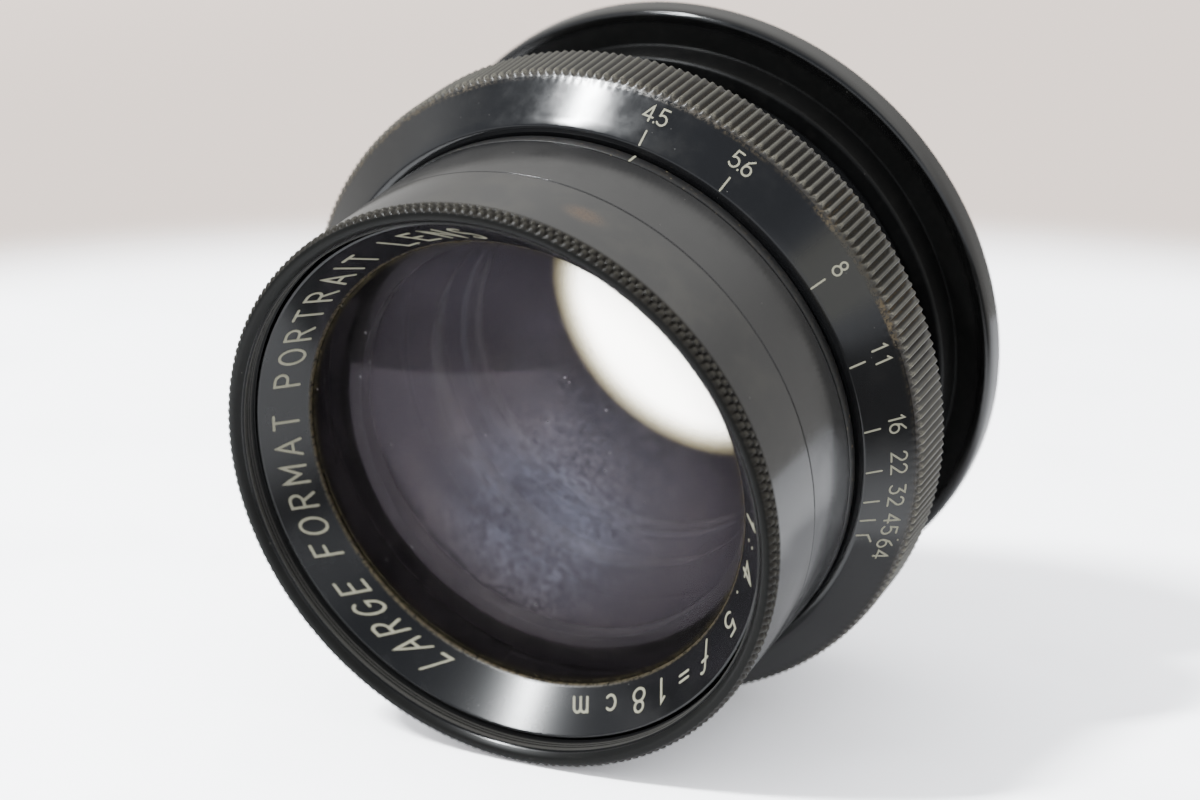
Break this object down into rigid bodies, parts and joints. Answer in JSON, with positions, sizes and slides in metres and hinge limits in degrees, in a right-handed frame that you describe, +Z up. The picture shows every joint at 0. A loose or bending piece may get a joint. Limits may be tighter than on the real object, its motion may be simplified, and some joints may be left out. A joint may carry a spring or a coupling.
{
  "type": "large format portrait lens",
  "caption": "Black lacquered brass barrel lens with a knurled front rim, an engraved name ring, a scaled aperture ring that drives an iris of thin blades, and a round rear mounting flange.",
  "frame": {"origin": "the middle of the lens's length on the optical axis, 19.95 mm in front of the mounting flange's rear face", "axes": "+Y runs along the optical axis from the front glass to the rear; -Y is the direction the glass faces; +Z is up, with the aperture index line 17 degrees from +Z towards +X"},
  "size_m": [0.063, 0.0472, 0.063],
  "materials": {
    "black_lacquer": "smooth black lacquer over brass, satin to gloss, with light scuffs",
    "gloss_black_lacquer": "thick gloss black lacquer over brass",
    "engraved_ring_black": "black lacquer over fine turning lines, engraved lettering filled with cream paint",
    "aperture_ring_lacquer": "gloss black lacquer, cream-filled engraved scale, knurl worn to grey",
    "matt_black_paint": "matt black anti-reflection paint",
    "blued_steel": "thin blued spring steel",
    "brass": "turned brass",
    "coated_glass": "polished glass with a faint purple-blue coating and light haze"
  },
  "bodies": {
    "lens_barrel": {"front_cell": "black_lacquer", "name_ring": "engraved_ring_black", "front_element": "coated_glass", "front_spacer": "matt_black_paint", "second_element": "coated_glass", "second_retaining_ring": "matt_black_paint", "main_barrel": "black_lacquer", "index_collar": "black_lacquer", "rear_collar": "black_lacquer", "mounting_flange": "gloss_black_lacquer", "iris_retaining_ring": "matt_black_paint", "iris_base_plate": "matt_black_paint", "rear_cell": "black_lacquer", "third_element": "coated_glass", "fourth_element": "coated_glass", "rear_retaining_ring": "matt_black_paint"},
    "aperture_control": {"aperture_ring": "aperture_ring_lacquer", "drive_screw": "brass", "iris_drive_ring": "brass"},
    "blade_01": {"iris_blade_01": "blued_steel"},
    "blade_02": {"iris_blade_02": "blued_steel"},
    "blade_03": {"iris_blade_03": "blued_steel"},
    "blade_04": {"iris_blade_04": "blued_steel"},
    "blade_05": {"iris_blade_05": "blued_steel"},
    "blade_06": {"iris_blade_06": "blued_steel"},
    "blade_07": {"iris_blade_07": "blued_steel"},
    "blade_08": {"iris_blade_08": "blued_steel"},
    "blade_09": {"iris_blade_09": "blued_steel"},
    "blade_10": {"iris_blade_10": "blued_steel"},
    "blade_11": {"iris_blade_11": "blued_steel"},
    "blade_12": {"iris_blade_12": "blued_steel"},
    "blade_13": {"iris_blade_13": "blued_steel"},
    "blade_14": {"iris_blade_14": "blued_steel"},
    "blade_15": {"iris_blade_15": "blued_steel"},
    "blade_16": {"iris_blade_16": "blued_steel"}
  },
  "joints": [
    {"name": "aperture_turn", "type": "hinge", "parent": "lens_barrel", "child": "aperture_control", "pos_m": [0, 0.00165, 0], "axis": [0, -1, 0], "range_deg": [0, 93.5]},
    {"name": "blade_01_pivot", "type": "hinge", "parent": "lens_barrel", "child": "blade_01", "pos_m": [0.0234, 0.003, 0], "axis": [0, -1, 0], "range_deg": [0, 41.2]},
    {"name": "blade_02_pivot", "type": "hinge", "parent": "lens_barrel", "child": "blade_02", "pos_m": [0.02162, 0.00316, 0.00895], "axis": [0, -1, 0], "range_deg": [0, 41.2]},
    {"name": "blade_03_pivot", "type": "hinge", "parent": "lens_barrel", "child": "blade_03", "pos_m": [0.01655, 0.00332, 0.01655], "axis": [0, -1, 0], "range_deg": [0, 41.2]},
    {"name": "blade_04_pivot", "type": "hinge", "parent": "lens_barrel", "child": "blade_04", "pos_m": [0.00895, 0.00348, 0.02162], "axis": [0, -1, 0], "range_deg": [0, 41.2]},
    {"name": "blade_05_pivot", "type": "hinge", "parent": "lens_barrel", "child": "blade_05", "pos_m": [0, 0.00364, 0.0234], "axis": [0, -1, 0], "range_deg": [0, 41.2]},
    {"name": "blade_06_pivot", "type": "hinge", "parent": "lens_barrel", "child": "blade_06", "pos_m": [-0.00895, 0.0038, 0.02162], "axis": [0, -1, 0], "range_deg": [0, 41.2]},
    {"name": "blade_07_pivot", "type": "hinge", "parent": "lens_barrel", "child": "blade_07", "pos_m": [-0.01655, 0.00396, 0.01655], "axis": [0, -1, 0], "range_deg": [0, 41.2]},
    {"name": "blade_08_pivot", "type": "hinge", "parent": "lens_barrel", "child": "blade_08", "pos_m": [-0.02162, 0.00412, 0.00895], "axis": [0, -1, 0], "range_deg": [0, 41.2]},
    {"name": "blade_09_pivot", "type": "hinge", "parent": "lens_barrel", "child": "blade_09", "pos_m": [-0.0234, 0.00428, 0], "axis": [0, -1, 0], "range_deg": [0, 41.2]},
    {"name": "blade_10_pivot", "type": "hinge", "parent": "lens_barrel", "child": "blade_10", "pos_m": [-0.02162, 0.00444, -0.00895], "axis": [0, -1, 0], "range_deg": [0, 41.2]},
    {"name": "blade_11_pivot", "type": "hinge", "parent": "lens_barrel", "child": "blade_11", "pos_m": [-0.01655, 0.0046, -0.01655], "axis": [0, -1, 0], "range_deg": [0, 41.2]},
    {"name": "blade_12_pivot", "type": "hinge", "parent": "lens_barrel", "child": "blade_12", "pos_m": [-0.00895, 0.00476, -0.02162], "axis": [0, -1, 0], "range_deg": [0, 41.2]},
    {"name": "blade_13_pivot", "type": "hinge", "parent": "lens_barrel", "child": "blade_13", "pos_m": [0, 0.00492, -0.0234], "axis": [0, -1, 0], "range_deg": [0, 41.2]},
    {"name": "blade_14_pivot", "type": "hinge", "parent": "lens_barrel", "child": "blade_14", "pos_m": [0.00895, 0.00508, -0.02162], "axis": [0, -1, 0], "range_deg": [0, 41.2]},
    {"name": "blade_15_pivot", "type": "hinge", "parent": "lens_barrel", "child": "blade_15", "pos_m": [0.01655, 0.00524, -0.01655], "axis": [0, -1, 0], "range_deg": [0, 41.2]},
    {"name": "blade_16_pivot", "type": "hinge", "parent": "lens_barrel", "child": "blade_16", "pos_m": [0.02162, 0.0054, -0.00895], "axis": [0, -1, 0], "range_deg": [0, 41.2]}
  ],
  "couplings": [
    {"joint": "blade_01_pivot", "follows": "aperture_turn", "ratio": 0.4405},
    {"joint": "blade_02_pivot", "follows": "aperture_turn", "ratio": 0.4405},
    {"joint": "blade_03_pivot", "follows": "aperture_turn", "ratio": 0.4405},
    {"joint": "blade_04_pivot", "follows": "aperture_turn", "ratio": 0.4405},
    {"joint": "blade_05_pivot", "follows": "aperture_turn", "ratio": 0.4405},
    {"joint": "blade_06_pivot", "follows": "aperture_turn", "ratio": 0.4405},
    {"joint": "blade_07_pivot", "follows": "aperture_turn", "ratio": 0.4405},
    {"joint": "blade_08_pivot", "follows": "aperture_turn", "ratio": 0.4405},
    {"joint": "blade_09_pivot", "follows": "aperture_turn", "ratio": 0.4405},
    {"joint": "blade_10_pivot", "follows": "aperture_turn", "ratio": 0.4405},
    {"joint": "blade_11_pivot", "follows": "aperture_turn", "ratio": 0.4405},
    {"joint": "blade_12_pivot", "follows": "aperture_turn", "ratio": 0.4405},
    {"joint": "blade_13_pivot", "follows": "aperture_turn", "ratio": 0.4405},
    {"joint": "blade_14_pivot", "follows": "aperture_turn", "ratio": 0.4405},
    {"joint": "blade_15_pivot", "follows": "aperture_turn", "ratio": 0.4405},
    {"joint": "blade_16_pivot", "follows": "aperture_turn", "ratio": 0.4405}
  ]
}
